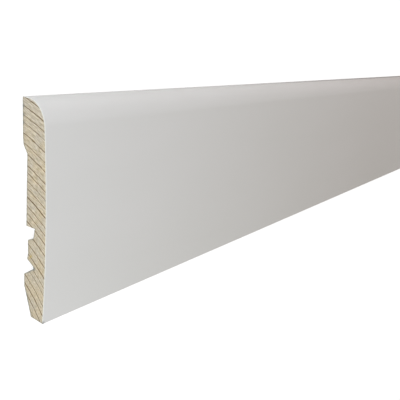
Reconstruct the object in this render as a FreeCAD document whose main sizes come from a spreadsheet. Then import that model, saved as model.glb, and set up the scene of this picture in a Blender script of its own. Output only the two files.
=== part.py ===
"""A length of softwood skirting board with a crowned white face and a rounded top.

The board lies on its back, as it would on a level floor. X runs along the board, Y runs from
the floor edge to the rounded top, and Z points out of the face. The origin is at the middle
of the length and of the height, on the wall plane that the back touches.
"""
import FreeCAD, Part
import os

import Sketcher

NODE = "skirting_board"

# Driving sizes in millimetres. Heights are measured up from the floor edge, and depths
# are measured into the board from the wall plane.
SIZES = [
    # Whole board
    ("stock_length", 2400.0),
    ("section_height", 95.0),
    ("section_thickness", 15.0),
    # Face and top
    ("crown_radius", 615.0),
    ("crown_height", 51.0),
    ("nose_radius", 10.2),
    ("back_ease", 0.5),
    # Wall pad at the top of the back, with its eased lower end
    ("pad_low", 79.0),
    ("pad_step_high", 75.7),
    ("pad_step_depth", 0.4),
    # Shallow recess below the pad
    ("recess_high", 72.6),
    ("recess_depth_high", 2.8),
    ("recess_depth_low", 1.8),
    # Clip groove, whose upper side rises a little inwards and whose lower side slants
    ("groove_high", 41.55),
    ("groove_rise", 0.5),
    ("groove_depth", 7.5),
    ("groove_floor_low", 37.45),
    ("groove_floor_depth", 6.5),
    ("groove_mouth_low", 34.25),
    # Land between the groove and the notch
    ("land_depth", 2.85),
    ("land_low", 29.5),
    ("lip_depth", 2.15),
    # Notch with a narrow floor
    ("notch_high", 26.8),
    ("notch_floor_high", 24.6),
    ("notch_floor_low", 23.5),
    ("notch_depth", 6.35),
    ("notch_low", 19.1),
    # Long bevel from the foot down to the floor edge
    ("toe_height", 13.6),
    ("toe_depth", 4.62),
    # How far a cutting outline passes the surface it cuts
    ("run_past", 1.0),
]


def make_sheet(doc):
    """Write the driving sizes into a spreadsheet, one named cell to a row."""
    sheet = doc.addObject("Spreadsheet::Sheet", "sizes")
    for row, (name, value) in enumerate(SIZES, start=1):
        sheet.set("A%d" % row, name)
        sheet.set("B%d" % row, "%g" % value)
        sheet.setAlias("B%d" % row, name)
    doc.recompute()
    return sheet


def section_plane(body):
    """Return the body's own plane that is square to the length."""
    for feature in body.Origin.OriginFeatures:
        if feature.Role == "YZ_Plane":
            return feature
    raise RuntimeError("the body has no plane square to the length")


def section_sketch(body, name):
    """Add an empty sketch on the plane that is square to the length."""
    sketch = body.newObject("Sketcher::SketchObject", name)
    sketch.AttachmentSupport = [(section_plane(body), "")]
    sketch.MapMode = "FlatFace"
    return sketch


def up(height):
    """Expression for a height above the floor edge, measured from the middle of the board."""
    return "%s - sizes.section_height / 2" % height


def place_point(sketch, geometry, end, across, outward):
    """Bind one point of a sketch to an expression in each direction."""
    first = sketch.addConstraint(Sketcher.Constraint("DistanceX", -1, 1, geometry, end, 1.0))
    sketch.setExpression("Constraints[%d]" % first, across)
    second = sketch.addConstraint(Sketcher.Constraint("DistanceY", -1, 1, geometry, end, 1.0))
    sketch.setExpression("Constraints[%d]" % second, outward)


def outline(body, name, points):
    """Draw a closed outline of straight lines through points given as pairs of expressions.

    Each pair holds the height on the board and the depth from the wall plane.
    """
    sketch = section_sketch(body, name)
    # Rough places, so that the lines start out in the right order round the outline
    doc = body.Document
    sheet = doc.getObject("sizes")
    rough = []
    for across, outward in points:
        rough.append(FreeCAD.Vector(value_of(sheet, across), value_of(sheet, outward), 0))
    count = len(points)
    for i in range(count):
        sketch.addGeometry(Part.LineSegment(rough[i], rough[(i + 1) % count]), False)
    for i in range(count):
        after = (i + 1) % count
        sketch.addConstraint(Sketcher.Constraint("Coincident", i, 2, after, 1))
    for i, (across, outward) in enumerate(points):
        place_point(sketch, i, 1, across, outward)
    return sketch


def value_of(sheet, expression):
    """Work out an expression on the sheet as a plain number."""
    result = sheet.evalExpression(expression.replace("sizes.", ""))
    return float(getattr(result, "Value", result))


def cut_through(body, sketch, name):
    """Cut an outline out of the board along its whole length, and check that it removes wood."""
    doc = body.Document
    before = body.Tip.Shape.Volume
    pocket = body.newObject("PartDesign::Pocket", name)
    pocket.Profile = sketch
    pocket.SideType = "Symmetric"
    pocket.Type = "Length"
    pocket.setExpression("Length", "sizes.stock_length + 2 * sizes.run_past")
    doc.recompute()
    if not pocket.Shape.Volume < before:
        raise RuntimeError("%s removes nothing" % name)
    print("%s removes %.1f cubic centimetres" % (name, (before - pocket.Shape.Volume) / 1000))
    return pocket


def long_edge(shape, length, score):
    """Name the edge along the board whose middle scores highest."""
    best = None
    for number, edge in enumerate(shape.Edges, start=1):
        box = edge.BoundBox
        if abs(box.XLength - length) > 0.01 or box.YLength + box.ZLength > 0.01:
            continue
        value = score(box.Center)
        if best is None or value > best[0]:
            best = (value, number)
    return "Edge%d" % best[1]


def make_blank(body):
    """Extrude the plain section: flat base, flat back, flat top and a crowned face."""
    doc = body.Document
    sheet = doc.getObject("sizes")
    half = sheet.section_height / 2
    thick = sheet.section_thickness
    radius = sheet.crown_radius
    middle = FreeCAD.Vector(sheet.crown_height - half, thick - radius, 0)
    low = FreeCAD.Vector(-half, middle.y + (radius ** 2 - (half + middle.x) ** 2) ** 0.5, 0)
    high = FreeCAD.Vector(half, middle.y + (radius ** 2 - (half - middle.x) ** 2) ** 0.5, 0)
    top_of_crown = middle + FreeCAD.Vector(0, radius, 0)
    back_low = FreeCAD.Vector(-half, 0, 0)
    back_high = FreeCAD.Vector(half, 0, 0)

    sketch = section_sketch(body, "section")
    back = sketch.addGeometry(Part.LineSegment(back_low, back_high), False)
    top = sketch.addGeometry(Part.LineSegment(back_high, high), False)
    face = sketch.addGeometry(Part.Arc(high, top_of_crown, low), False)
    base = sketch.addGeometry(Part.LineSegment(low, back_low), False)
    # An arc always runs counter-clockwise, from its high end on the right to its low end
    sketch.addConstraint(Sketcher.Constraint("Coincident", back, 2, top, 1))
    sketch.addConstraint(Sketcher.Constraint("Coincident", top, 2, face, 1))
    sketch.addConstraint(Sketcher.Constraint("Coincident", face, 2, base, 1))
    sketch.addConstraint(Sketcher.Constraint("Coincident", base, 2, back, 1))
    sketch.addConstraint(Sketcher.Constraint("Vertical", top))
    sketch.addConstraint(Sketcher.Constraint("Vertical", base))
    place_point(sketch, back, 1, "-sizes.section_height / 2", "0")
    place_point(sketch, back, 2, "sizes.section_height / 2", "0")
    bow = sketch.addConstraint(Sketcher.Constraint("Radius", face, radius))
    sketch.setExpression("Constraints[%d]" % bow, "sizes.crown_radius")
    place_point(
        sketch, face, 3, up("sizes.crown_height"), "sizes.section_thickness - sizes.crown_radius"
    )

    blank = body.newObject("PartDesign::Pad", "blank")
    blank.Profile = sketch
    blank.SideType = "Symmetric"
    blank.Type = "Length"
    blank.setExpression("Length", "sizes.stock_length")
    doc.recompute()
    return blank


def round_nose(body):
    """Round the top front edge and ease the top back edge."""
    doc = body.Document
    length = doc.getObject("sizes").stock_length
    base = body.Tip
    nose = body.newObject("PartDesign::Fillet", "nose")
    nose.Base = (base, [long_edge(base.Shape, length, lambda c: c.y + c.z)])
    nose.setExpression("Radius", "sizes.nose_radius")
    doc.recompute()
    ease = body.newObject("PartDesign::Fillet", "back_ease")
    ease.Base = (nose, [long_edge(nose.Shape, length, lambda c: c.y - 2 * c.z)])
    ease.setExpression("Radius", "sizes.back_ease")
    doc.recompute()


def relieve_back(body):
    """Cut the recess below the wall pad, and the land below the clip groove."""
    points = [
        (up("sizes.pad_low"), "-sizes.run_past"),
        (up("sizes.pad_low"), "0"),
        (up("sizes.pad_step_high"), "sizes.pad_step_depth"),
        (up("sizes.recess_high"), "sizes.recess_depth_high"),
        (up("sizes.groove_high"), "sizes.recess_depth_low"),
        (up("sizes.groove_floor_low"), "sizes.land_depth"),
        (up("sizes.land_low"), "sizes.land_depth"),
        (up("sizes.notch_high"), "sizes.lip_depth"),
        (up("sizes.notch_high - sizes.run_past"), "-sizes.run_past"),
    ]
    cut_through(body, outline(body, "recess_outline", points), "recess")


def cut_clip_groove(body):
    """Cut the groove that narrows inwards, with one nearly square side and one slanted side."""
    points = [
        (up("sizes.groove_high"), "0"),
        (up("sizes.groove_high + sizes.groove_rise"), "sizes.groove_depth"),
        (up("sizes.groove_floor_low"), "sizes.groove_floor_depth"),
        (up("sizes.groove_mouth_low"), "0"),
    ]
    cut_through(body, outline(body, "groove_outline", points), "clip_groove")


def cut_notch(body):
    """Cut the notch between the land and the foot."""
    points = [
        (up("sizes.notch_high + sizes.run_past"), "-sizes.run_past"),
        (up("sizes.notch_high"), "sizes.lip_depth"),
        (up("sizes.notch_floor_high"), "sizes.notch_depth"),
        (up("sizes.notch_floor_low"), "sizes.notch_depth"),
        (up("sizes.notch_low"), "0"),
        (up("sizes.notch_low"), "-sizes.run_past"),
    ]
    cut_through(body, outline(body, "notch_outline", points), "notch")


def bevel_toe(body):
    """Cut the long bevel that leads from the foot to the floor edge."""
    beyond = "sizes.toe_depth * (1 + sizes.run_past / sizes.toe_height)"
    points = [
        (up("sizes.toe_height"), "0"),
        (up("-sizes.run_past"), beyond),
        (up("-sizes.run_past"), "-sizes.run_past"),
        (up("sizes.toe_height"), "-sizes.run_past"),
    ]
    cut_through(body, outline(body, "toe_outline", points), "toe_bevel")


def check_document(doc):
    """Stop if any object of the document failed."""
    for item in doc.Objects:
        if "Invalid" in item.State or "Error" in item.State:
            raise RuntimeError("%s did not compute: %s" % (item.Name, item.State))


def write_piece(body):
    """Check the finished solid and write it to its own file."""
    shape = body.Shape
    if shape.isNull() or not shape.isValid():
        raise RuntimeError("%s has no valid shape" % body.Label)
    if len(shape.Solids) != 1:
        raise RuntimeError("%s is %d solids" % (body.Label, len(shape.Solids)))
    box = shape.BoundBox
    print("%s: %.2f x %.2f x %.2f mm" % (body.Label, box.XLength, box.YLength, box.ZLength))
    print("%s: %.1f cubic centimetres" % (body.Label, shape.Volume / 1000))
    os.makedirs("parts", exist_ok=True)
    shape.exportStep("parts/%s.step" % body.Label)


def main():
    """Build the board from its blank to its last cut and write it."""
    doc = FreeCAD.newDocument("skirting_length")
    make_sheet(doc)
    body = doc.addObject("PartDesign::Body", "board")
    body.Label = NODE
    doc.recompute()
    make_blank(body)
    round_nose(body)
    relieve_back(body)
    cut_clip_groove(body)
    cut_notch(body)
    bevel_toe(body)
    doc.recompute()
    check_document(doc)
    write_piece(body)


main()
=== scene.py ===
"""Looks of one length of skirting board: bare softwood with a thin white coat on its face.

The board lies on its back on a pale floor. X runs along it, Y from its floor edge to its rounded
top, and Z out of its face. Sizes of the section are in millimetres, as the part's source has
them, and every mesh is in metres.
"""

from __future__ import annotations

import logging
from dataclasses import dataclass, field
from enum import Enum
from typing import Sequence

import bpy
import numpy as np
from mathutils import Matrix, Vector

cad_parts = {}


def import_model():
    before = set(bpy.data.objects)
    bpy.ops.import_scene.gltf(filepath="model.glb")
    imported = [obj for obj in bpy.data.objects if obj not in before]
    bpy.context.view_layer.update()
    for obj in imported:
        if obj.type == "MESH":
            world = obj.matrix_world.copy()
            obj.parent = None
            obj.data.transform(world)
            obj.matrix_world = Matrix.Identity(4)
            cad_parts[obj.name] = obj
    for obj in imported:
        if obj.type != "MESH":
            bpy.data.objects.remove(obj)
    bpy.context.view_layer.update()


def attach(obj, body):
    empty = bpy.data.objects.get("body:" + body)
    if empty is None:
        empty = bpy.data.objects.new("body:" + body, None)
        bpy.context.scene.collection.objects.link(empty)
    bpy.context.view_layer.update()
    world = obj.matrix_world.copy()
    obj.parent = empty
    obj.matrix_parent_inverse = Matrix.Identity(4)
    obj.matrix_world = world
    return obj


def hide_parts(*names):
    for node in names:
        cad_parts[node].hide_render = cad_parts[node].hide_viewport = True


LOG = logging.getLogger("skirting_board")
NODE = "skirting_board"
BODY = "root"
MM = 0.001
SHARP_ANGLE = 0.6
Colour = tuple[float, float, float]
Socket = bpy.types.NodeSocket
Triple = tuple[float, float, float]
Pair = tuple[float, float]


class Slot(Enum):
    """Material slots of the record, listed beside the pieces in the build."""

    TIMBER = "bare_timber"
    COAT = "white_coat"


class End(Enum):
    """The two cut ends, as the sign of X that they face."""

    NEAR = -1
    FAR = 1


# ---------------------------------------------------------------------------------------------
# Shape of the section


@dataclass(frozen=True)
class Section:
    """The board's cross-section, as curves over the height above the floor edge.

    Heights run up from the floor edge. Depths run from the wall plane towards the face.
    """

    length: float = 2400.0
    height: float = 95.0
    thickness: float = 14.97
    crown_radius: float = 615.0
    crown_height: float = 51.0
    nose_radius: float = 10.2
    back_ease: float = 0.5
    face_coat: float = 0.4
    nose_coat: float = 0.32
    edge_coat: float = 0.1
    thinning: float = 2.6
    lean_height: float = 8.0
    corner_radius: float = 0.2
    corner_share: float = 0.4
    corner_points: int = 5
    nose_points: int = 48
    flat_points: int = 24
    nose_rows: int = 40
    ease_points: int = 8
    line_step: float = 0.5
    smallest_gap: float = 0.03
    slant: float = 0.075
    slant_height: float = 41.5
    slant_spread: float = 4.0
    slant_rounds: int = 8
    back: tuple[Pair, ...] = (
        (0.0, 4.62),
        (13.6, 0.0),
        (19.1, 0.0),
        (23.5, 6.35),
        (24.6, 6.35),
        (26.8, 2.15),
        (29.5, 2.85),
        (35.65, 2.85),
        (37.45, 6.5),
        (42.05, 7.5),
        (41.67, 1.8),
        (72.6, 2.8),
        (75.7, 0.4),
        (79.0, 0.0),
    )

    def back_outline(self, top: float) -> np.ndarray:
        """Give the relieved back as a line of points with its corners eased.

        Each corner P between its neighbours A and C becomes the curve
        (1 - s)^2 a + 2 s (1 - s) P + s^2 c, where a and c lie on the two sides a short way
        from P.

        Args:
            top: Height of the line's upper end, in millimetres.

        Returns:
            Points as rows of height and depth, from the floor edge upwards.
        """
        corners = np.array(self.back + ((top, 0.0),))
        here, before, after = corners[1:-1], corners[:-2], corners[2:]
        to_before = before - here
        to_after = after - here
        run_before = np.linalg.norm(to_before, axis=1, keepdims=True)
        run_after = np.linalg.norm(to_after, axis=1, keepdims=True)
        shortest = np.minimum(run_before, run_after)
        reach = np.minimum(self.corner_radius, self.corner_share * shortest)
        start = here + to_before / run_before * reach
        end = here + to_after / run_after * reach
        s = np.linspace(0.0, 1.0, self.corner_points)[None, :, None]
        eased = (
            (1 - s) ** 2 * start[:, None]
            + 2 * s * (1 - s) * here[:, None]
            + s**2 * end[:, None]
        )
        return np.vstack([corners[:1], eased.reshape(-1, 2), corners[-1:]])

    def nose_centre(self) -> Triple:
        """Find the centre of the nose, whose arc touches both the face and the top.

        The face's arc and the nose's arc touch where both centres and the point of contact
        stand in one line, so the centres are the two radii's difference apart.

        Returns:
            Its height, its distance behind the face, and the angle at which the arcs meet.
        """
        height = self.height - self.nose_radius
        rise = height - self.crown_height
        reach = self.crown_radius - self.nose_radius
        back = self.crown_radius - float(np.sqrt(reach**2 - rise**2))
        return height, back, float(np.arctan2(rise, self.crown_radius - back))

    def coated_lines(self, step: float) -> tuple[np.ndarray, np.ndarray]:
        """Give the coat's outer and inner lines, from the floor edge to the top's back edge.

        The outer line is the board's own surface: an arc of the crown's radius up the face,
        the nose's arc, and the flat top. The inner line lies behind it by the coat, along the
        normal. The coat thins evenly with the angle round the nose, and as s * s * (3 - 2 s)
        with the distance from the back edge of the top.

        Args:
            step: Distance between points of the face, in millimetres.

        Returns:
            Two lines of as many points each, as rows of height and depth.
        """
        centre, nose_back, tangent = self.nose_centre()
        last = self.crown_height + self.crown_radius * np.sin(tangent)
        low = np.linspace(0.0, last, int(last / step))[:-1]
        lean = np.arcsin((low - self.crown_height) / self.crown_radius)
        turn = np.linspace(tangent, np.pi / 2, self.nose_points)
        flat = np.linspace(self.thickness - nose_back, self.back_ease, self.flat_points)[1:]
        angle = np.concatenate([lean, turn, np.full(len(flat), np.pi / 2)])
        height = np.concatenate(
            [low, centre + self.nose_radius * np.sin(turn), np.full(len(flat), self.height)]
        )
        depth = np.concatenate(
            [
                self.thickness - self.crown_radius * (1.0 - np.cos(lean)),
                self.thickness - nose_back + self.nose_radius * np.cos(turn),
                flat,
            ]
        )
        thin = np.clip((angle - tangent) / (np.pi / 2 - tangent), 0.0, 1.0)
        coat = self.face_coat + (self.nose_coat - self.face_coat) * thin
        share = np.clip((depth - self.back_ease) / self.thinning, 0.0, 1.0)
        coat = self.edge_coat + (coat - self.edge_coat) * share * share * (3.0 - 2.0 * share)
        lifted = np.clip(height / self.lean_height, 0.0, 1.0)
        outer = np.stack([height, depth], axis=-1)
        inner = outer - np.stack([coat * np.sin(angle) * lifted, coat * np.cos(angle)], axis=-1)
        return outer, inner

    def rise(self, rows: np.ndarray, depths: np.ndarray) -> np.ndarray:
        """Give how far a row has risen at a depth, which is slant * depth * exp(-(u / spread)^2).

        u is the row's distance from the groove's upper side. There the rows slant, because
        that side of the groove leads upwards into the board.

        Args:
            rows: Heights of the rows at the wall plane, in millimetres.
            depths: Depths from the wall plane, in millimetres.

        Returns:
            The rise of each, in millimetres.
        """
        apart = (rows - self.slant_height) / self.slant_spread
        return self.slant * depths * np.exp(-(apart**2))

    def level(self, points: np.ndarray) -> np.ndarray:
        """Give the height at the wall plane of the row that passes through each point.

        It is the point's height less the row's rise there, found in a few rounds.

        Args:
            points: Rows of height and depth, in millimetres.

        Returns:
            One height for each point, in millimetres.
        """
        rows = points[:, 0]
        for _ in range(self.slant_rounds):
            rows = points[:, 0] - self.rise(rows, points[:, 1])
        return rows

    def timber_rows(self, step: float) -> tuple[np.ndarray, np.ndarray, np.ndarray]:
        """Cut the timber's section into rows from the back to the face, level but for the slant.

        The rows start from the back's corners, together with even steps up the board and steps
        of equal angle round the nose. The back ends in a quarter round of the ease.

        Args:
            step: Even step, in millimetres.

        Returns:
            The rows' heights at the wall plane, and their depths at the back and at the face.
        """
        _, inner = self.coated_lines(self.line_step)
        top = float(inner[-1, 0])
        start = self.height - self.back_ease
        back = self.back_outline(start)
        last = np.arcsin((top - start) / self.back_ease)
        rise = self.back_ease * np.sin(np.linspace(0.0, last, self.ease_points))
        ease = self.back_ease - np.sqrt(self.back_ease**2 - rise**2)
        back = np.vstack([back, np.stack([start + rise, ease], axis=-1)[1:]])
        back[:, 0] = self.level(back)
        centre, _, _ = self.nose_centre()
        nose = centre + (top - centre) * np.sin(np.linspace(0.0, np.pi / 2, self.nose_rows))
        rows = np.concatenate([np.arange(0.0, top, step), nose, back[:, 0]])
        rows = np.unique(np.round(rows, 3))
        keep = np.concatenate([[True], np.diff(rows) > self.smallest_gap])
        rows = rows[keep]
        rows[-1] = top
        behind = np.interp(rows, back[:, 0], back[:, 1])
        front = np.interp(rows, self.level(inner), inner[:, 1])
        return rows, behind, front

    def place(self, along: np.ndarray, heights: np.ndarray, depths: np.ndarray) -> np.ndarray:
        """Turn distances along, heights and depths in millimetres into points in metres."""
        x, y, z = np.broadcast_arrays(along, heights - self.height / 2, depths)
        return np.stack([x, y, z], axis=-1) * MM


# ---------------------------------------------------------------------------------------------
# Growth rings


@dataclass(frozen=True)
class Ring:
    """One dark line of late wood: its radius from the pith in millimetres, and its strength."""

    radius: float
    strength: float


@dataclass(frozen=True)
class Tree:
    """Where the pith lay, and the rings that the board was cut from.

    The pith runs along the board, below its floor edge and behind its back.
    """

    pith_height: float = -34.35
    pith_depth: float = -34.0
    innermost: float = 40.0
    outermost: float = 152.0
    rings: tuple[Ring, ...] = (
        Ring(43.20, 0.50),
        Ring(46.80, 0.70),
        Ring(50.10, 0.40),
        Ring(53.50, 0.60),
        Ring(56.78, 0.81),
        Ring(60.31, 0.90),
        Ring(63.58, 0.68),
        Ring(67.56, 0.60),
        Ring(70.12, 0.68),
        Ring(73.66, 0.76),
        Ring(77.69, 0.62),
        Ring(82.05, 0.71),
        Ring(86.24, 0.69),
        Ring(89.48, 0.69),
        Ring(92.39, 0.66),
        Ring(96.24, 0.88),
        Ring(99.50, 0.66),
        Ring(102.53, 0.60),
        Ring(105.76, 0.74),
        Ring(108.49, 0.69),
        Ring(112.98, 0.59),
        Ring(116.20, 0.50),
        Ring(119.99, 0.62),
        Ring(124.28, 0.46),
        Ring(127.00, 0.68),
        Ring(130.63, 0.69),
        Ring(134.15, 0.60),
        Ring(137.70, 0.70),
        Ring(141.30, 0.50),
        Ring(144.60, 0.80),
        Ring(148.00, 0.60),
    )

    def radius(self, heights: np.ndarray, depths: np.ndarray) -> np.ndarray:
        """Give the distance from the pith, the root of the two squared offsets from it."""
        return np.hypot(heights - self.pith_height, depths - self.pith_depth)

    def late_wood(self, radius: np.ndarray, width: float) -> np.ndarray:
        """Give how far each radius lies in late wood.

        The value is each ring's strength times exp(-(distance / width)^2), summed over rings.

        Args:
            radius: Distances from the pith, in millimetres.
            width: Half-width of a line, in millimetres.

        Returns:
            Values from 0 in early wood to about 1 on a strong line.
        """
        places = np.array([ring.radius for ring in self.rings])
        strengths = np.array([ring.strength for ring in self.rings])
        apart = (radius[..., None] - places) / width
        return (np.exp(-(apart**2)) * strengths).sum(axis=-1)

    def along(self, radius: float) -> float:
        """Give a radius as a share of the way from the innermost to the outermost."""
        return (radius - self.innermost) / (self.outermost - self.innermost)


# ---------------------------------------------------------------------------------------------
# Shader nodes


@dataclass(frozen=True)
class Texture:
    """A noise: its grains to a unit along each axis, its finer layers, and how strong they are."""

    stretch: Triple
    detail: float = 2.0
    roughness: float = 0.5


class NodeBench:
    """Lays out nodes in one tree, with a short call for each kind that the finishes use."""

    def __init__(self, tree: bpy.types.NodeTree) -> None:
        """Keep the tree that the nodes go into."""
        self.tree = tree

    def node(self, kind: str, **settings: object) -> bpy.types.Node:
        """Add a node and set its own options.

        Args:
            kind: The kind of node.
            **settings: Options of the node with their values.

        Returns:
            The node.
        """
        made = self.tree.nodes.new(kind)
        for name, value in settings.items():
            setattr(made, name, value)
        return made

    def feed(self, socket: Socket, value: object) -> None:
        """Link an output to a socket, or set the socket's own value.

        Args:
            socket: The input that is fed.
            value: An output of another node, or a plain value.
        """
        if isinstance(value, Socket):
            self.tree.links.new(value, socket)
        else:
            socket.default_value = value

    def math(self, operation: str, *values: object, clamp: bool = False) -> Socket:
        """Work on plain numbers.

        Args:
            operation: The kind of sum.
            *values: Its numbers or outputs, in order.
            clamp: Whether the result is held between 0 and 1.

        Returns:
            The result.
        """
        made = self.node("ShaderNodeMath", operation=operation, use_clamp=clamp)
        for socket, value in zip(made.inputs, values):
            self.feed(socket, value)
        return made.outputs[0]

    def vector_math(self, operation: str, *values: object) -> Socket:
        """Work on vectors.

        Args:
            operation: The kind of sum.
            *values: Its vectors or outputs, in order.

        Returns:
            The result, which is a plain number for a length or a dot product.
        """
        made = self.node("ShaderNodeVectorMath", operation=operation)
        for socket, value in zip(made.inputs, values):
            self.feed(socket, value)
        return made.outputs[1] if operation in ("LENGTH", "DOT_PRODUCT") else made.outputs[0]

    def apart(self, vector: object) -> bpy.types.bpy_prop_collection:
        """Split a vector into its three parts.

        Args:
            vector: The vector.

        Returns:
            The three parts.
        """
        made = self.node("ShaderNodeSeparateXYZ")
        self.feed(made.inputs[0], vector)
        return made.outputs

    def combine(self, x: object, y: object, z: object) -> Socket:
        """Join three values into a vector.

        Args:
            x: Number or output for the first part.
            y: The same for the second.
            z: The same for the third.

        Returns:
            The vector.
        """
        made = self.node("ShaderNodeCombineXYZ")
        for socket, value in zip(made.inputs, (x, y, z)):
            self.feed(socket, value)
        return made.outputs[0]

    def noise(self, point: object, texture: Texture) -> Socket:
        """Give a noise that averages a half.

        Args:
            point: Where it is read.
            texture: The noise.

        Returns:
            The noise's value.
        """
        made = self.node("ShaderNodeTexNoise")
        stretched = self.vector_math("MULTIPLY", point, texture.stretch)
        self.feed(made.inputs["Vector"], stretched)
        made.inputs["Scale"].default_value = 1.0
        made.inputs["Detail"].default_value = texture.detail
        made.inputs["Roughness"].default_value = texture.roughness
        return made.outputs[0]

    def spread(
        self, value: object, low: float, high: float, to_low: float = 0.0, to_high: float = 1.0
    ) -> Socket:
        """Map a value from one range onto another and hold it there.

        Args:
            value: The value that is mapped.
            low: Start of its range.
            high: End of its range.
            to_low: What the start becomes.
            to_high: What the end becomes.

        Returns:
            The mapped value.
        """
        made = self.node("ShaderNodeMapRange", clamp=True)
        for socket, given in zip(made.inputs, (value, low, high, to_low, to_high)):
            self.feed(socket, given)
        return made.outputs[0]

    def curve(self, value: object, points: Sequence[Pair]) -> Socket:
        """Read a value off a curve of straight lines between points.

        Args:
            value: The value, from 0 to 1.
            points: The curve's points from left to right, each within 0 to 1.

        Returns:
            The curve's height at the value.
        """
        made = self.node("ShaderNodeFloatCurve")
        line = made.mapping.curves[0]
        for x, y in points[1:-1]:
            line.points.new(x, y)
        line.points[0].location = points[0]
        line.points[len(points) - 1].location = points[-1]
        for point in line.points:
            point.handle_type = "VECTOR"
        made.mapping.update()
        self.feed(made.inputs["Value"], value)
        return made.outputs[0]

    def mix(
        self, factor: object, first: object, second: object, blend: str = "MIX"
    ) -> Socket:
        """Mix two colours.

        Args:
            factor: How far to go from the first to the second.
            first: Colour or output.
            second: Colour or output.
            blend: The way of mixing.

        Returns:
            The mixed colour.
        """
        made = self.node("ShaderNodeMix", data_type="RGBA", blend_type=blend)
        self.feed(made.inputs[0], factor)
        for socket, value in ((made.inputs[6], first), (made.inputs[7], second)):
            self.feed(socket, (*value, 1.0) if isinstance(value, tuple) else value)
        return made.outputs[2]

    def bump(self, height: object, distance: float, strength: float) -> Socket:
        """Turn a height into a normal.

        Args:
            height: The height, where 1 stands for the distance.
            distance: The relief's full height, in metres.
            strength: How much of it is used.

        Returns:
            The normal.
        """
        made = self.node("ShaderNodeBump")
        self.feed(made.inputs["Height"], height)
        made.inputs["Distance"].default_value = distance
        made.inputs["Strength"].default_value = strength
        return made.outputs[0]

    def attribute(self, name: str) -> Socket:
        """Read a value that the mesh holds at its points."""
        return self.node("ShaderNodeAttribute", attribute_name=name).outputs["Fac"]

    def object_point(self) -> Socket:
        """Give the point of the surface in the board's own coordinates."""
        return self.node("ShaderNodeTexCoord").outputs["Object"]


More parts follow.
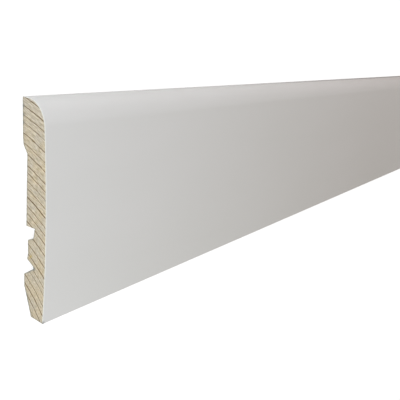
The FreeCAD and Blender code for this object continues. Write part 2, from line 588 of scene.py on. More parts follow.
@dataclass(frozen=True)
class GrainGroup:
    """The node group that both finishes use to follow the grain of the timber.

    It puts out the late wood, how far through its year the wood is, torn fibre ends, fine long
    fibres, and a slow mottle.
    """

    tree: Tree = field(default_factory=Tree)
    section: Section = field(default_factory=Section)
    taper: float = 4.0
    wander: float = 9.0
    wander_noise: Texture = Texture((1.4, 12.0, 12.0), 1.0)
    uneven: float = 0.5
    uneven_noise: Texture = Texture((3.0, 240.0, 240.0))
    darkness: float = 1.6
    widens_from: Pair = (1.1, 1.9)
    width_factors: Pair = (1.0, 2.0)
    tail: float = 0.45
    crest: float = 0.6
    break_noise: Texture = Texture((60.0, 620.0, 620.0), 2.0, 0.6)
    break_range: Pair = (0.3, 0.62)
    breaks_up_to: Pair = (0.75, 1.3)
    left_in_breaks: Pair = (0.3, 0.85)
    between_breaks: float = 1.15
    torn_noise: Texture = Texture((45.0, 2.1, 46.0), 1.5, 0.5)
    fibre_noise: Texture = Texture((14.0, 1500.0, 1500.0), 3.0, 0.6)
    mottle_noise: Texture = Texture((20.0, 160.0, 160.0), 3.0, 0.6)

    def build(self) -> bpy.types.NodeTree:
        """Make the group once, with its inputs and outputs.

        Returns:
            The group.
        """
        group = bpy.data.node_groups.new("timber_grain", "ShaderNodeTree")
        sockets = group.interface
        sockets.new_socket("Point", in_out="INPUT", socket_type="NodeSocketVector")
        sockets.new_socket("Line Width", in_out="INPUT", socket_type="NodeSocketFloat")
        bench = NodeBench(group)
        given = bench.node("NodeGroupInput").outputs
        point = given["Point"]
        along, up, out = bench.apart(point)
        base = self.tree.pith_height - self.section.height / 2
        rise = bench.math("SUBTRACT", bench.math("MULTIPLY", up, 1 / MM), base)
        reach = bench.math("SUBTRACT", bench.math("MULTIPLY", out, 1 / MM), self.tree.pith_depth)
        radius = bench.vector_math("LENGTH", bench.combine(0.0, rise, reach))
        polar = bench.combine(along, radius, bench.math("ARCTAN2", rise, reach))
        season, strength = self.season(bench, point, along, radius)
        made = {
            "Late Wood": self.late_wood(bench, point, season, strength, given["Line Width"]),
            "Season": season,
            "Torn": bench.noise(polar, self.torn_noise),
            "Fibre": bench.noise(point, self.fibre_noise),
            "Mottle": bench.noise(point, self.mottle_noise),
        }
        for output in made:
            sockets.new_socket(output, in_out="OUTPUT", socket_type="NodeSocketFloat")
        result = bench.node("NodeGroupOutput")
        for output, value in made.items():
            bench.feed(result.inputs[output], value)
        return group

    def season(
        self, bench: NodeBench, point: Socket, along: Socket, radius: Socket
    ) -> tuple[Socket, Socket]:
        """Give the part of its year that a point lies in, and how dark that year's line is.

        Away from the near end the rings taper and wander, and they are slightly uneven all
        over. Two curves over the radius then give the number of the year and its strength.

        Args:
            bench: A bench on the group.
            point: The point in the board's own coordinates, in metres.
            along: Its place along the board, in metres.
            radius: Its distance from the pith, in millimetres.

        Returns:
            The share of the year that has gone, and the strength.
        """
        start = -self.section.length * MM / 2
        away = bench.math("SUBTRACT", along, start)
        slow = bench.noise(point, self.wander_noise)
        drift = bench.math("MULTIPLY", bench.math("SUBTRACT", slow, 0.5), self.wander)
        swing = bench.math("MULTIPLY", bench.math("ADD", drift, self.taper), away)
        shifted = bench.math("ADD", radius, swing)
        uneven = bench.math("SUBTRACT", bench.noise(point, self.uneven_noise), 0.5)
        shifted = bench.math("MULTIPLY_ADD", uneven, self.uneven, shifted)
        share = bench.spread(shifted, self.tree.innermost, self.tree.outermost)

        rings = self.tree.rings
        count = len(rings) + 1
        strongest = max(ring.strength for ring in rings)
        years = [(0.0, 0.0)]
        weights = [(0.0, rings[0].strength / strongest)]
        for number, ring in enumerate(rings, start=1):
            years.append((self.tree.along(ring.radius), number / count))
            weights.append((self.tree.along(ring.radius), ring.strength / strongest))
        years.append((1.0, 1.0))
        weights.append((1.0, rings[-1].strength / strongest))
        year = bench.math("MULTIPLY", bench.curve(share, years), float(count))
        strength = bench.curve(share, weights)
        strength = bench.math("MULTIPLY", strength, strongest * self.darkness)
        return bench.math("FRACT", year), strength

    def late_wood(
        self,
        bench: NodeBench,
        point: Socket,
        season: Socket,
        strength: Socket,
        line_width: Socket,
    ) -> Socket:
        """Give the dark line at the end of each year.

        The line darkens over the last part of a year and fades quickly in the next. Strong
        lines are wide, and weak ones are broken up.

        Args:
            bench: A bench on the group.
            point: The point in the board's own coordinates, in metres.
            season: The share of the year that has gone.
            strength: How dark the year's line is.
            line_width: The width of a weak line, as a share of the year.

        Returns:
            Values from 0 in early wood to 1 on a strong line.
        """
        wider = bench.spread(strength, *self.widens_from, *self.width_factors)
        width = bench.math("MULTIPLY", line_width, wider)
        before = bench.math("DIVIDE", bench.math("SUBTRACT", 1.0, season), width)
        before = bench.math("SUBTRACT", 1.0, before, clamp=True)
        after = bench.math("DIVIDE", season, bench.math("MULTIPLY", width, self.tail))
        after = bench.math("SUBTRACT", 1.0, after, clamp=True)
        line = bench.spread(bench.math("MAXIMUM", before, after), 0.0, self.crest)
        left = bench.spread(strength, *self.breaks_up_to, *self.left_in_breaks)
        broken = bench.noise(point, self.break_noise)
        broken = bench.spread(broken, *self.break_range, left, self.between_breaks)
        return bench.math("MULTIPLY", bench.math("MULTIPLY", line, strength), broken, clamp=True)

    def place(
        self, bench: NodeBench, tree: bpy.types.NodeTree, line_width: float
    ) -> bpy.types.Node:
        """Put the group into a material and give it the point and its line width.

        Args:
            bench: A bench on the material.
            tree: The group.
            line_width: The width of a weak line, as a share of the year.

        Returns:
            The group's node.
        """
        made = bench.node("ShaderNodeGroup", node_tree=tree)
        bench.feed(made.inputs["Point"], bench.object_point())
        made.inputs["Line Width"].default_value = line_width
        return made


def new_material(name: str) -> tuple[bpy.types.Material, NodeBench, bpy.types.Node]:
    """Make an empty material with a Principled shader.

    Args:
        name: The finish, in words joined by underscores.

    Returns:
        The material, a bench on its nodes, and the shader.
    """
    material = bpy.data.materials.new(name)
    material.use_nodes = True
    material.node_tree.nodes.clear()
    bench = NodeBench(material.node_tree)
    shader = bench.node("ShaderNodeBsdfPrincipled")
    output = bench.node("ShaderNodeOutputMaterial")
    bench.feed(output.inputs["Surface"], shader.outputs[0])
    return material, bench, shader


@dataclass(frozen=True)
class BareTimber:
    """Planed and sawn softwood with no finish on it."""

    early_grey: Colour = (0.626, 0.545, 0.428)
    early_golden: Colour = (0.663, 0.542, 0.367)
    late: Colour = (0.124, 0.058, 0.003)
    # Dark grey for the darker back edges and spots of the cut ends, and for painted shade inside
    # the notch all along the board.
    dark_rim_and_notch_shade: Colour = (0.26, 0.255, 0.225)
    dull_torn: Colour = (0.70, 0.66, 0.58)
    bright_torn: Colour = (1.20, 1.23, 1.31)
    dull_fibre: Colour = (0.95, 0.955, 0.87)
    bright_fibre: Colour = (1.05, 1.05, 1.14)
    resin: Colour = (0.56, 0.40, 0.12)
    mottle_range: Pair = (0.32, 0.68)
    tint_range: Pair = (0.3, 0.7)
    nose_heights: Pair = (0.026, 0.044)
    nose_grey: float = 0.8
    year_swing: float = 0.5
    year_floor: float = 0.75
    roughness: float = 0.62
    smoother_lines: float = 0.12
    specular: float = 0.35
    line_rise: float = 0.6
    relief: float = 0.00008
    relief_strength: float = 0.5
    line_width: float = 0.1
    year: tuple[Pair, ...] = (
        (0.0, 0.52),
        (0.12, 0.62),
        (0.3, 0.5),
        (0.5, 0.49),
        (0.72, 0.63),
        (0.86, 0.62),
        (1.0, 0.52),
    )

    def build(self, grain: GrainGroup, tree: bpy.types.NodeTree) -> bpy.types.Material:
        """Make the material.

        Args:
            grain: The group's description.
            tree: The group itself.

        Returns:
            The finished material.
        """
        material, bench, shader = new_material("bare_softwood")
        wood = grain.place(bench, tree, self.line_width)
        up = bench.apart(bench.object_point())[1]
        nose = bench.spread(up, *self.nose_heights, 0.0, self.nose_grey)
        golden = bench.spread(wood.outputs["Mottle"], *self.mottle_range)
        colour = bench.mix(golden, self.early_grey, self.early_golden)
        colour = bench.mix(nose, colour, self.early_grey)
        shade = bench.curve(wood.outputs["Season"], self.year)
        tone = bench.math("MULTIPLY_ADD", shade, self.year_swing, self.year_floor)
        colour = bench.mix(1.0, colour, bench.combine(tone, tone, tone), "MULTIPLY")
        for output, dull, bright in (
            ("Torn", self.dull_torn, self.bright_torn),
            ("Fibre", self.dull_fibre, self.bright_fibre),
        ):
            share = bench.spread(wood.outputs[output], *self.tint_range)
            colour = bench.mix(1.0, colour, bench.mix(share, dull, bright), "MULTIPLY")
        late = wood.outputs["Late Wood"]
        colour = bench.mix(late, colour, self.late)
        colour = bench.mix(bench.attribute("resin"), colour, self.resin)
        # Darker back edges and spots on the cut ends, and painted shade inside the notch along the
        # board.
        colour = bench.mix(bench.attribute("dark_rim_and_notch_shade"), colour, self.dark_rim_and_notch_shade)
        bench.feed(shader.inputs["Base Color"], colour)
        on_lines = self.roughness - self.smoother_lines
        bench.feed(
            shader.inputs["Roughness"], bench.spread(late, 0.0, 1.0, self.roughness, on_lines)
        )
        shader.inputs["Specular IOR Level"].default_value = self.specular
        raised = bench.math("MULTIPLY_ADD", late, self.line_rise, wood.outputs["Fibre"])
        normal = bench.bump(raised, self.relief, self.relief_strength)
        bench.feed(shader.inputs["Normal"], normal)
        return material


@dataclass(frozen=True)
class WhiteCoat:
    """A thin smooth white coat, through which the grain shows as a faint relief."""

    body: Colour = (0.738, 0.722, 0.722)
    shaded: Colour = (0.718, 0.705, 0.70)
    chalk: Colour = (0.80, 0.775, 0.715)
    # Dark grey for painted shade on the back part of the flat top, and for darker dots at the
    # floor edge's ends.
    darkening_and_shade: Colour = (0.12, 0.115, 0.11)
    cloud_noise: Texture = Texture((6.0, 22.0, 22.0), 3.0)
    cloud_range: Pair = (0.35, 0.7)
    peel_noise: Texture = Texture((900.0, 900.0, 900.0))
    peel_range: Pair = (0.3, 0.7)
    roughness: Pair = (0.45, 0.52)
    specular: float = 0.28
    line_rise: float = 0.5
    fibre_rise: float = 0.35
    peel_rise: float = 0.5
    relief: float = 0.00003
    relief_strength: float = 0.35
    line_width: float = 0.2

    def build(self, grain: GrainGroup, tree: bpy.types.NodeTree) -> bpy.types.Material:
        """Make the material.

        Args:
            grain: The group's description.
            tree: The group itself.

        Returns:
            The finished material.
        """
        material, bench, shader = new_material("white_coat")
        wood = grain.place(bench, tree, self.line_width)
        point = bench.object_point()
        cloud = bench.spread(bench.noise(point, self.cloud_noise), *self.cloud_range)
        colour = bench.mix(cloud, self.body, self.shaded)
        colour = bench.mix(bench.attribute("cut"), colour, self.chalk)
        # Painted shade on the back part of the flat top, and darker dots at the floor edge's ends.
        colour = bench.mix(bench.attribute("darkening_and_shade"), colour, self.darkening_and_shade)
        bench.feed(shader.inputs["Base Color"], colour)
        peel = bench.noise(point, self.peel_noise)
        gloss = bench.spread(peel, *self.peel_range, *self.roughness)
        bench.feed(shader.inputs["Roughness"], gloss)
        shader.inputs["Specular IOR Level"].default_value = self.specular
        lines = bench.math("MULTIPLY", wood.outputs["Late Wood"], self.line_rise)
        fibres = bench.math("MULTIPLY", wood.outputs["Fibre"], self.fibre_rise)
        height = bench.math("ADD", lines, fibres)
        height = bench.math("MULTIPLY_ADD", peel, self.peel_rise, height)
        normal = bench.bump(height, self.relief, self.relief_strength)
        bench.feed(shader.inputs["Normal"], normal)
        return material


# ---------------------------------------------------------------------------------------------
# Meshes


def make_piece(
    name: str, points: np.ndarray, faces: np.ndarray, marks: dict[str, np.ndarray]
) -> bpy.types.Object:
    """Make an object at the origin from points, four-sided faces and values at the points.

    Args:
        name: The piece's name.
        points: Rows of X, Y and Z in metres.
        faces: Rows of four point numbers.
        marks: Named values, one for each point.

    Returns:
        The object, linked to the scene.
    """
    mesh = bpy.data.meshes.new(name)
    mesh.vertices.add(len(points))
    mesh.vertices.foreach_set("co", points.astype(np.float32).ravel())
    mesh.loops.add(faces.size)
    mesh.loops.foreach_set("vertex_index", faces.astype(np.int32).ravel())
    mesh.polygons.add(len(faces))
    mesh.polygons.foreach_set("loop_start", np.arange(0, faces.size, 4, dtype=np.int32))
    mesh.update(calc_edges=True)
    for mark, values in marks.items():
        layer = mesh.attributes.new(mark, "FLOAT", "POINT")
        layer.data.foreach_set("value", values.astype(np.float32).ravel())
    if mesh.validate(verbose=False):
        raise RuntimeError(f"{name} has faces that do not hold")
    piece = bpy.data.objects.new(name, mesh)
    bpy.context.scene.collection.objects.link(piece)
    return piece


def quads(numbers: np.ndarray) -> np.ndarray:
    """Give the four-sided faces between neighbouring rows and columns.

    Args:
        numbers: A grid of point numbers.

    Returns:
        Rows of four point numbers.
    """
    return np.stack(
        [numbers[:-1, :-1], numbers[:-1, 1:], numbers[1:, 1:], numbers[1:, :-1]], axis=-1
    ).reshape(-1, 4)


def shade_smooth(piece: bpy.types.Object) -> None:
    """Shade a piece smoothly, with sharp edges where its faces meet at a steep angle.

    Args:
        piece: The piece.
    """
    mesh = piece.data
    mesh.polygons.foreach_set("use_smooth", np.ones(len(mesh.polygons), dtype=bool))
    mesh.set_sharp_from_angle(angle=SHARP_ANGLE)


def rough(values: np.ndarray, seed: int, count: int, lengths: Pair) -> np.ndarray:
    """Give a repeatable unevenness along a line, about -1 to 1.

    It is a sum of sines whose wavelengths lie between two lengths and whose phases come from
    a seeded draw, divided by the root of half their number.

    Args:
        values: Places along the line, in millimetres.
        seed: Seed of the draw.
        count: Number of sines.
        lengths: Shortest and longest wavelength, in millimetres.

    Returns:
        One value for each place.
    """
    draw = np.random.default_rng(seed)
    waves = draw.uniform(*lengths, count)
    phases = draw.uniform(0.0, 2 * np.pi, count)
    turned = values[..., None] * (2 * np.pi / waves) + phases
    return np.sin(turned).sum(axis=-1) / np.sqrt(count / 2)


@dataclass(frozen=True)
class Spot:
    """A soft oval mark on a cut end, in millimetres, turned by a tilt in radians."""

    height: float
    depth: float
    along: float
    across: float
    tilt: float = 0.0
    strength: float = 1.0

    def cover(self, heights: np.ndarray, depths: np.ndarray) -> np.ndarray:
        """Give the mark, strength * exp(-(u / along)^2 - (v / across)^2).

        u and v are the distances from the mark's middle, turned by the tilt.

        Args:
            heights: Heights of the points, in millimetres.
            depths: Depths of the points, in millimetres.

        Returns:
            One value for each point.
        """
        rise, reach = heights - self.height, depths - self.depth
        u = rise * np.cos(self.tilt) + reach * np.sin(self.tilt)
        v = reach * np.cos(self.tilt) - rise * np.sin(self.tilt)
        return self.strength * np.exp(-((u / self.along) ** 2) - (v / self.across) ** 2)


@dataclass
class TimberBody:
    """The board's wood: a straight sweep of the section, closed by two cut ends with relief."""

    section: Section = field(default_factory=Section)
    tree: Tree = field(default_factory=Tree)
    row_step: float = 0.25
    columns: int = 49
    end_relief: float = 0.05
    relief_margin: float = 0.5
    ring_width: float = 0.35
    ripple: float = 0.012
    ripple_slant: Pair = (0.8, 0.6)
    ripple_seed: int = 7
    ripple_waves: int = 9
    ripple_lengths: Pair = (0.7, 2.6)
    fray: float = 0.09
    fray_seed: int = 3
    fray_waves: int = 14
    fray_lengths: Pair = (0.8, 5.0)
    stations: tuple[float, ...] = (0.12, 0.4, 1.2, 6.0, 60.0, 300.0, 700.0)
    rim_bands: tuple[Pair, ...] = ((0.6, 0.42), (0.14, 1.5))
    # Darker spots on the cut ends, along the back's outline and in the notch.
    dark_spots: tuple[Spot, ...] = (
        Spot(91.4, 0.3, 0.6, 0.75, strength=1.2),
        Spot(87.95, 0.3, 0.6, 0.75, strength=1.2),
        Spot(84.8, 0.3, 0.6, 0.75, strength=1.2),
        Spot(23.6, 6.7, 0.9, 0.55, 0.9, 1.2),
        Spot(21.9, 3.9, 3.2, 0.55, 0.965, 0.6),
        Spot(7.0, 2.5, 6.5, 0.8, -0.3275, 0.4),
    )
    resin: Spot = Spot(28.6, 4.6, 1.1, 0.4, 0.7)
    # Darkening of the sides next to the cut ends, and painted shade inside the notch all along the
    # board.
    end_darkening: float = 0.55
    corner_reach: float = 0.5
    notch_shade: float = 0.9
    notch_height: float = 23.6
    notch_reach: float = 2.6
    search_parts: int = 12

    def end_grid(self) -> tuple[np.ndarray, np.ndarray]:
        """Lay a grid over the section, in rows from the back to the face.

        A point of a row is back + share * (face - back), where share runs from 0 to 1.

        Returns:
            Heights and depths of the grid's points, in millimetres.
        """
        rows, back, face = self.section.timber_rows(self.row_step)
        share = np.linspace(0.0, 1.0, self.columns)[None, :]
        depths = back[:, None] + share * (face - back)[:, None]
        return rows[:, None] + self.section.rise(rows[:, None], depths), depths

    @staticmethod
    def border(rows: int, columns: int) -> np.ndarray:
        """Go round the section: up the back, over, down the face and under.

        Args:
            rows: Number of rows of the grid.
            columns: Number of its columns.

        Returns:
            The numbers of the grid's border points.
        """
        numbers = np.arange(rows * columns).reshape(rows, columns)
        return np.concatenate(
            [numbers[:, 0], numbers[-1, 1:-1], numbers[::-1, -1], numbers[0, -2:0:-1]]
        )

    def rim_distance(self, heights: np.ndarray, depths: np.ndarray) -> np.ndarray:
        """Measure how far each grid point is from the outline of the back and the underside.

        Args:
            heights: Heights of the grid's points, in millimetres.
            depths: Depths of the grid's points, in millimetres.

        Returns:
            The distances, in millimetres.
        """
        outline = np.stack([heights[:, 0], depths[:, 0]], axis=-1)
        under = np.stack([heights[0], depths[0]], axis=-1)
        points = np.stack([heights, depths], axis=-1).reshape(-1, 2)
        nearest = np.full(len(points), np.inf)
        for part in np.array_split(np.vstack([outline, under]), self.search_parts):
            apart = np.linalg.norm(points[:, None] - part[None], axis=-1)
            nearest = np.minimum(nearest, apart.min(axis=1))
        return nearest.reshape(heights.shape)

    def sunk(self, heights: np.ndarray, depths: np.ndarray, near: np.ndarray) -> np.ndarray:
        """Sink the cut end by relief * (1 - late wood), and by saw ripple.

        Args:
            heights: Heights of the grid's points, in millimetres.
            depths: Depths of the grid's points, in millimetres.
            near: Their distances from the back's outline, where the relief ends.

        Returns:
            How far each point is sunk, in millimetres.
        """
        inside = 1.0 - np.exp(-((near / self.relief_margin) ** 2))
        wood = self.tree.late_wood(self.tree.radius(heights, depths), self.ring_width)
        up, out = self.ripple_slant
        ripple = rough(
            heights * up + depths * out, self.ripple_seed, self.ripple_waves, self.ripple_lengths
        )
        relief = self.end_relief * (1.0 - np.clip(wood, 0.0, 1.0)) * inside
        return relief + self.ripple * np.maximum(1.0 + ripple, 0.0)

    def frayed(self, end: End, heights: np.ndarray, depths: np.ndarray) -> np.ndarray:
        """Draw in the back's edge of a cut end by uneven shares of the fray.

        Args:
            end: The end.
            heights: Heights of the grid's points, in millimetres.
            depths: Depths of the grid's points, in millimetres.

        Returns:
            The new depths, in one row.
        """
        rows, columns = heights.shape
        ring = self.border(rows, columns)
        edge_heights, edge_depths = heights.ravel()[ring], depths.ravel()[ring]
        behind = np.zeros(len(ring))
        behind[:rows] = 1.0
        behind[len(ring) - columns + 2 :] = 1.0
        steps = np.hypot(np.diff(edge_heights), np.diff(edge_depths))
        walk = np.concatenate([[0.0], np.cumsum(steps)])
        uneven = rough(walk, self.fray_seed + end.value, self.fray_waves, self.fray_lengths)
        drawn = self.fray * behind * (0.5 + 0.5 * np.clip(uneven, -1, 1))
        moved = depths.copy().ravel()
        moved[ring] += drawn * np.sign(self.section.thickness / 2 - edge_depths)
        return moved

    def end_marks(
        self, heights: np.ndarray, depths: np.ndarray, near: np.ndarray
    ) -> tuple[np.ndarray, np.ndarray]:
        """Darken a cut end in bands along the back's outline and in spots, and mark its resin.

        Each band is strength * exp(-(distance / width)^2), and the bands and spots add up.

        Args:
            heights: Heights of the grid's points, in millimetres.
            depths: Depths of the grid's points, in millimetres.
            near: Their distances from the back's outline, in millimetres.

        Returns:
            Darkening and resin, from 0 to 1.
        """
        bands = (strength * np.exp(-((near / width) ** 2)) for strength, width in self.rim_bands)
        dark_rim_and_notch_shade = sum(bands)
        for dark_spot in self.dark_spots:
            dark_rim_and_notch_shade += dark_spot.cover(heights, depths)
        return np.clip(dark_rim_and_notch_shade, 0.0, 1.0), np.clip(self.resin.cover(heights, depths), 0.0, 1.0)

    def sides(self, heights: np.ndarray, depths: np.ndarray) -> tuple[np.ndarray, np.ndarray]:
        """Carry the section's border along the board in straight lines through the stations.

        The darkening at the ends and the painted shade in the notch are each
        strength * exp(-(distance / reach)^2), from the ends and from the notch.

        Args:
            heights: Heights of the border's points, in millimetres.
            depths: Depths of the border's points, in millimetres.

        Returns:
            The points in metres and their darkening and painted shade, for each station and border
            point.
        """
        half = self.section.length / 2
        inner = np.array(self.stations)
        along = np.concatenate([-half + inner, half - inner[::-1]])
        points = self.section.place(along[:, None], heights[None], depths[None])
        depth_in = np.minimum(along + half, half - along)
        corner = self.end_darkening * np.exp(-((depth_in / self.corner_reach) ** 2))
        # Painted shade inside the notch, on the back half of the section, all along the board.
        notch = np.exp(-(((heights - self.notch_height) / self.notch_reach) ** 2))
        notch = notch * (depths < self.section.thickness / 2)
        return points, np.maximum(corner[:, None], self.notch_shade * notch[None])

    def build(self) -> bpy.types.Object:
        """Make the timber: two cut ends, and a belt that joins their borders.

        Returns:
            The object.
        """
        heights, depths = self.end_grid()
        near = self.rim_distance(heights, depths)
        inset = self.section.length / 2 - self.sunk(heights, depths, near)
        dark_rim_and_notch_shade, resin = self.end_marks(heights, depths, near)
        points = []
        for end in End:
            moved = self.frayed(end, heights, depths)
            points.append(self.section.place(end.value * inset.ravel(), heights.ravel(), moved))
        ring = self.border(*heights.shape)
        sides, darkening_and_shade = self.sides(heights.ravel()[ring], depths.ravel()[ring])
        points.append(sides.reshape(-1, 3))

        count = heights.size
        grid = np.arange(count).reshape(heights.shape)
        numbers = 2 * count + np.arange(darkening_and_shade.size).reshape(darkening_and_shade.shape)
        belt = np.vstack([ring, numbers, count + ring])
        belt = np.hstack([belt, belt[:, :1]])
        faces = np.vstack([quads(grid)[:, ::-1], quads(count + grid), quads(belt)])
        marks = {
            "dark_rim_and_notch_shade": np.concatenate([dark_rim_and_notch_shade.ravel(), dark_rim_and_notch_shade.ravel(), darkening_and_shade.ravel()]),
            "resin": np.concatenate([resin.ravel(), resin.ravel(), np.zeros(darkening_and_shade.size)]),
        }
        piece = make_piece("timber_body", np.vstack(points), faces, marks)
        shade_smooth(piece)
        return piece


@dataclass
class CoatSkin:
    """The white coat: a thin shell over the face, round the nose and over the top."""

    section: Section = field(default_factory=Section)
    row_step: float = 0.8
    edge_round: float = 0.12
    stations: tuple[float, ...] = (
        *(0.0, 0.03, 0.06, 0.12, 0.25, 0.6, 1.5, 6.0),
        *(60.0, 140.0, 225.0, 400.0, 500.0, 800.0),
    )
    # Painted shade on the flat top, by distance from the near end: darker where less light
    # reaches.
    top_shade_along: tuple[Pair, ...] = (
        (0.0, 0.04),
        (140.0, 0.05),
        (225.0, 0.32),
        (400.0, 0.62),
        (500.0, 0.62),
        (800.0, 0.12),
    )
    # Where the painted shade on the flat top lies: above a height and behind a depth.
    top_shade_bottom: float = 94.6
    top_shade_rise: float = 0.3
    top_shade_front: float = 5.4
    top_shade_fade: float = 1.6
    dark_dot_reach: float = 0.9
    cut_reach: float = 0.16

    def marks(
        self, loop: np.ndarray, from_near: np.ndarray, distance: np.ndarray
    ) -> dict[str, np.ndarray]:
        """Darken the floor edge's corners, paint shade on the flat top, and whiten the cut edge.

        Corners and cut edge fade as exp(-(distance / reach)^2). The painted shade on the flat top
        fades in straight lines, and follows a table along the board, darker where less light
        reaches it.

        Args:
            loop: Heights and depths round the loop at every station, in millimetres.
            from_near: The stations' distances from the near end, in millimetres.
            distance: Their distances from the nearest end, in millimetres.

        Returns:
            The marks "darkening_and_shade" and "cut", for each station and loop point.
        """
        heights, depths = loop[..., 0], loop[..., 1]
        low = np.exp(-((heights / self.dark_dot_reach) ** 2))
        darkening_and_shade = low * np.exp(-((distance / self.dark_dot_reach) ** 2))[:, None]
        top_shade = np.clip((heights - self.top_shade_bottom) / self.top_shade_rise, 0.0, 1.0)
        top_shade = top_shade * np.clip((self.top_shade_front - depths) / self.top_shade_fade, 0.0, 1.0)
        where, share = np.array(self.top_shade_along).T
        # Painted shade on the back part of the flat top, growing along the board.
        darkening_and_shade += top_shade * np.interp(from_near, where, share)[:, None]
        cut = np.exp(-((distance / self.cut_reach) ** 2))[:, None] * np.ones_like(heights)
        return {"darkening_and_shade": darkening_and_shade, "cut": cut}

    def build(self) -> bpy.types.Object:
        """Make the coat.

        A closed loop, out along the outer line and back along the inner one, is carried along
        the board. At each end the outer line is drawn in by a small quarter round, which is
        radius * (1 - sqrt(1 - (1 - distance / radius)^2)).

        Returns:
            The object.
        """
        outer, inner = self.section.coated_lines(self.row_step)
        half = self.section.length / 2
        along = np.array(self.stations)
        distance = np.concatenate([along, along[::-1]])
        places = np.concatenate([-half + along, half - along[::-1]])
        left = np.clip(1.0 - distance / self.edge_round, 0.0, 1.0)
        drawn = self.edge_round * (1.0 - np.sqrt(1.0 - left**2))
        through = inner - outer
        thick = np.linalg.norm(through, axis=1, keepdims=True)
        toward = through / thick * np.minimum(1.0, thick / (2 * self.edge_round))
        rolled = outer[None] + drawn[:, None, None] * toward[None]
        loop = np.concatenate([rolled, np.repeat(inner[None, ::-1], len(places), axis=0)], axis=1)
        points = self.section.place(places[:, None], loop[..., 0], loop[..., 1])
        width = loop.shape[1]
        numbers = np.arange(points[..., 0].size).reshape(len(places), width)
        belt = np.hstack([numbers, numbers[:, :1]])
        count = len(outer)
        caps = []
        for station, flip in ((0, False), (len(places) - 1, True)):
            pair = np.stack([numbers[station, :count], numbers[station, :count - 1 - width : -1]])
            face = quads(pair)
            caps.append(face[:, ::-1] if flip else face)
        faces = np.vstack([quads(belt)[:, ::-1], *caps])
        marks = self.marks(loop, places + half, distance)
        piece = make_piece("white_coat_skin", points.reshape(-1, 3), faces, marks)
        shade_smooth(piece)
        return piece


# ---------------------------------------------------------------------------------------------
# Studio


@dataclass(frozen=True)
class Lamp:
    """A soft lamp: where it hangs, what it points at, its power, colour, size and spread."""

    name: str
    place: Triple
    aim: Triple
    power: float
    colour: Colour = (1.0, 1.0, 1.0)
    width: float = 0.25
    length: float = 0.25
    spread_degrees: float = 180.0

    def hang(self) -> None:
        """Add the lamp to the scene."""
        light = bpy.data.lights.new(self.name, "AREA")
        light.shape = "RECTANGLE"
        light.size = self.length
        light.size_y = self.width
        light.spread = float(np.radians(self.spread_degrees))
        light.energy = self.power
        light.color = self.colour
        lamp = bpy.data.objects.new(self.name, light)
        lamp.location = self.place
        toward = Vector(self.aim) - Vector(self.place)
        lamp.rotation_euler = toward.to_track_quat("-Z", "Y").to_euler()
        lamp.visible_camera = False
        bpy.context.scene.collection.objects.link(lamp)


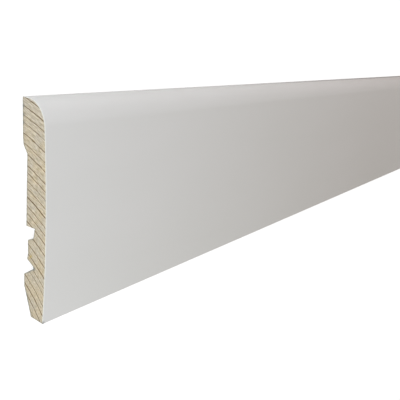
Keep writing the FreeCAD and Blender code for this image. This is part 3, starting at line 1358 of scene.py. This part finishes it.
@dataclass(frozen=True)
class Studio:
    """A pale floor, a plain sky and soft lamps."""

    floor_size: float = 30.0
    floor_drop: float = 0.0002
    floor_colour: float = 0.7
    shown_gain: float = 0.28
    shown_lift: float = 0.92
    sky: Colour = (0.356, 0.314, 0.274)
    lamps: tuple[Lamp, ...] = (
        Lamp("near_key", (-1.5, 0.053, 0.3), (-1.15, 0.0, 0.0), 1.01, (0.81, 0.91, 1.0)),
        Lamp("low_key", (-1.3, -0.357, 0.3), (-1.15, 0.0, 0.0), 0.74, (0.89, 1.0, 0.985)),
        Lamp("top_rim", (-1.3, 0.697, 0.061), (-1.1, 0.0, 0.0), 2.66, (0.835, 0.972, 1.0)),
        Lamp("top_fill", (-0.85, 0.7, 0.05), (-0.85, 0.0, 0.0), 0.607, (1.0, 0.57, 0.57)),
        Lamp(
            name="long_fill",
            place=(0.335, 0.1, 0.35),
            aim=(0.335, 0.0, 0.0),
            power=1.27,
            colour=(0.88, 0.94, 1.0),
            width=0.2,
            length=1.73,
            spread_degrees=90.0,
        ),
        Lamp("far_key", (1.5, 0.05, 0.3), (1.15, 0.0, 0.0), 0.6, (0.88, 0.94, 1.0)),
    )

    def build(self) -> None:
        """Make the floor, the sky and the lamps."""
        self.lay_floor()
        self.paint_sky()
        for lamp in self.lamps:
            lamp.hang()
            LOG.info("lamp %s", lamp.name)

    def lay_floor(self) -> None:
        """Lay the floor just under the board.

        The camera sees it paler than its light makes it, so that it is white except in shadow.
        """
        material = bpy.data.materials.new("pale_floor")
        material.use_nodes = True
        material.node_tree.nodes.clear()
        bench = NodeBench(material.node_tree)
        path = bench.node("ShaderNodeLightPath").outputs
        mirrored = bench.math("MAXIMUM", path["Is Glossy Ray"], path["Is Transmission Ray"])
        colour = bench.mix(mirrored, (self.floor_colour,) * 3, (1.0, 1.0, 1.0))
        colour = bench.mix(path["Is Camera Ray"], colour, (self.shown_gain,) * 3)
        diffuse = bench.node("ShaderNodeBsdfDiffuse")
        bench.feed(diffuse.inputs["Color"], colour)
        glow = bench.node("ShaderNodeEmission")
        lift = bench.math("MULTIPLY", path["Is Camera Ray"], self.shown_lift)
        bench.feed(glow.inputs["Strength"], lift)
        both = bench.node("ShaderNodeAddShader")
        bench.feed(both.inputs[0], diffuse.outputs[0])
        bench.feed(both.inputs[1], glow.outputs[0])
        output = bench.node("ShaderNodeOutputMaterial")
        bench.feed(output.inputs["Surface"], both.outputs[0])
        reach = self.floor_size / 2
        across = np.array([-reach, 0.0, reach])
        x, y = np.meshgrid(across, across, indexing="ij")
        points = np.stack([x, y, np.full_like(x, -self.floor_drop)], axis=-1).reshape(-1, 3)
        faces = quads(np.arange(x.size).reshape(x.shape))[:, ::-1]
        floor = make_piece("pale_floor", points, faces, {})
        floor.data.materials.append(material)
        LOG.info("floor")

    def paint_sky(self) -> None:
        """Light the scene evenly, with a sky that is white to the camera and in gloss."""
        world = bpy.data.worlds.new("plain_sky")
        world.use_nodes = True
        world.node_tree.nodes.clear()
        bench = NodeBench(world.node_tree)
        path = bench.node("ShaderNodeLightPath").outputs
        seen = bench.math("MAXIMUM", path["Is Camera Ray"], path["Is Glossy Ray"])
        seen = bench.math("MAXIMUM", seen, path["Is Transmission Ray"])
        sky = bench.node("ShaderNodeBackground")
        bench.feed(sky.inputs["Color"], bench.mix(seen, self.sky, (1.0, 1.0, 1.0)))
        output = bench.node("ShaderNodeOutputWorld")
        bench.feed(output.inputs["Surface"], sky.outputs[0])
        bpy.context.scene.world = world
        LOG.info("sky")


@dataclass(frozen=True)
class Viewpoint:
    """The camera, where the photograph was taken from: close to the near end, looking along."""

    place: Triple = (-1.32923, 0.08143, 0.18515)
    turn_degrees: Triple = (-24.578, -51.601, 8.361)
    lens: float = 49.71
    sensor: float = 36.0
    nearest: float = 0.01
    farthest: float = 100.0

    def build(self) -> None:
        """Set up the camera and make it the scene's own."""
        data = bpy.data.cameras.new("viewpoint")
        data.lens = self.lens
        data.sensor_width = self.sensor
        data.clip_start = self.nearest
        data.clip_end = self.farthest
        camera = bpy.data.objects.new("viewpoint", data)
        camera.location = self.place
        camera.rotation_euler = tuple(np.radians(self.turn_degrees))
        bpy.context.scene.collection.objects.link(camera)
        bpy.context.scene.camera = camera
        LOG.info("camera")


# ---------------------------------------------------------------------------------------------
# Assembly


def dress(piece: bpy.types.Object, material: bpy.types.Material) -> None:
    """Give a piece its material, fix it to the board's body and hide the part that it stands for.

    Args:
        piece: The piece.
        material: Its finish.
    """
    piece.data.materials.append(material)
    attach(piece, BODY)
    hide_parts(NODE)
    LOG.info("piece %s", piece.name)


def main() -> None:
    """Build the studio and the board."""
    logging.basicConfig(level=logging.INFO, format="%(message)s")
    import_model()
    bpy.context.scene.view_settings.view_transform = "Standard"
    Viewpoint().build()
    Studio().build()
    grain = GrainGroup()
    tree = grain.build()
    pieces: tuple[tuple[TimberBody | CoatSkin, BareTimber | WhiteCoat, Slot], ...] = (
        (TimberBody(), BareTimber(), Slot.TIMBER),
        (CoatSkin(), WhiteCoat(), Slot.COAT),
    )
    for shape, finish, slot in pieces:
        dress(shape.build(), finish.build(grain, tree))


if __name__ == "__main__":
    main()
